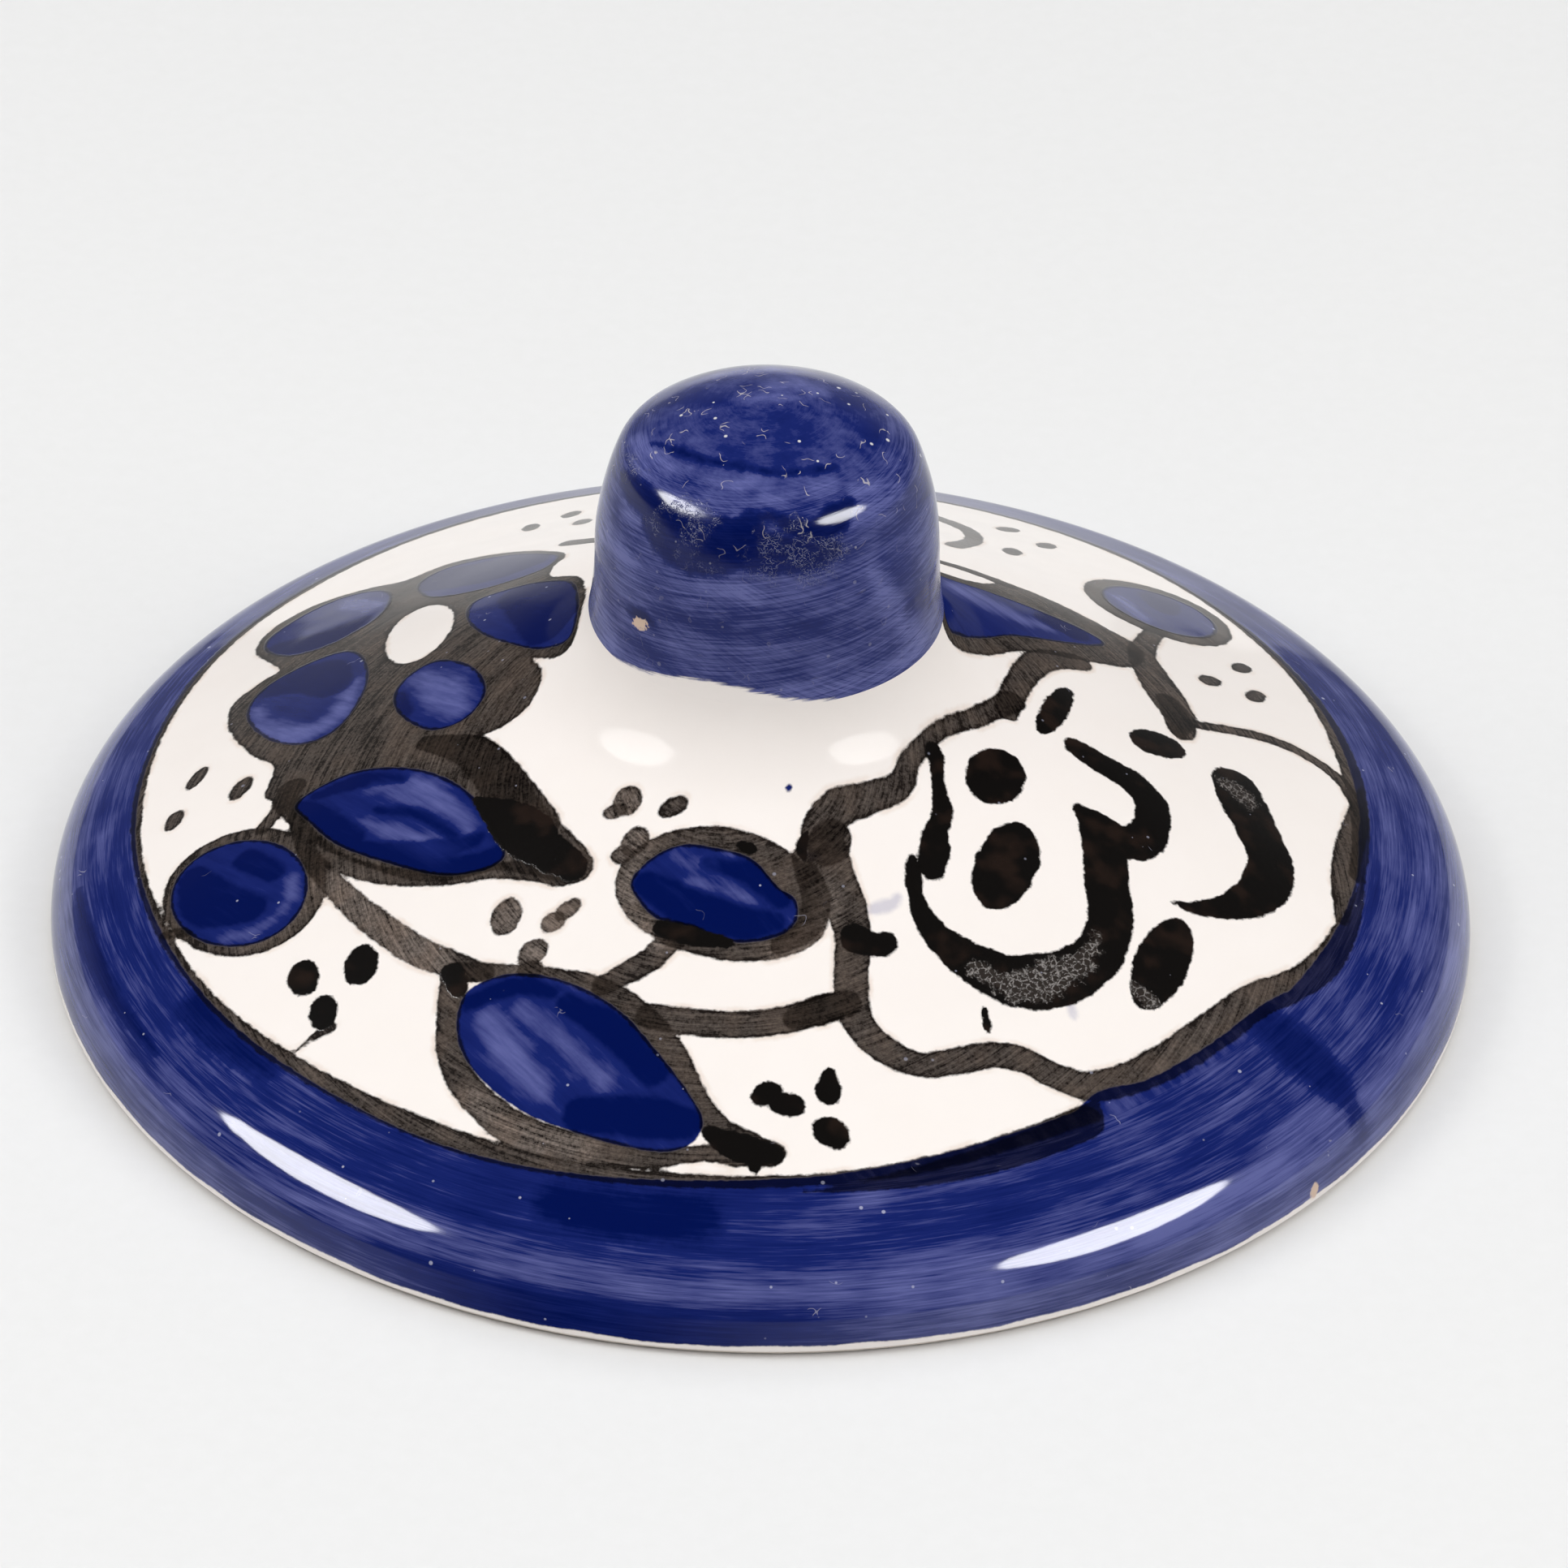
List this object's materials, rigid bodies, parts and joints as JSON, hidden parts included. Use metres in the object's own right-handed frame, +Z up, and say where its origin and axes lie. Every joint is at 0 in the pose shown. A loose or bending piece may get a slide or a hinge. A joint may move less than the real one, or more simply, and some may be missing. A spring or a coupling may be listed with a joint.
{
  "type": "pot lid",
  "caption": "Ceramic pot lid: a low cone with a rolled rim, a swept neck and a domed finger knob, hand-painted in blue and black on white glaze, hollow below.",
  "frame": {"origin": "on the axis of the lid, in the plane that its foot ring stands on", "axes": "+Z up the axis towards the knob, +X to the right and -Y towards the viewer in the picture"},
  "size_m": [0.084, 0.084, 0.0357],
  "materials": {
    "biscuit": "fired, bare",
    "slip": "fired, bare",
    "painted_glaze": "glossy, painted",
    "blue_glaze": "glossy, painted",
    "clear_glaze": "glossy"
  },
  "bodies": {
    "root": {"lid_shell": "biscuit", "knob": "biscuit", "luting_slip": "slip", "lid_glaze": "painted_glaze", "knob_glaze": "blue_glaze", "under_glaze": "clear_glaze"}
  },
  "joints": []
}
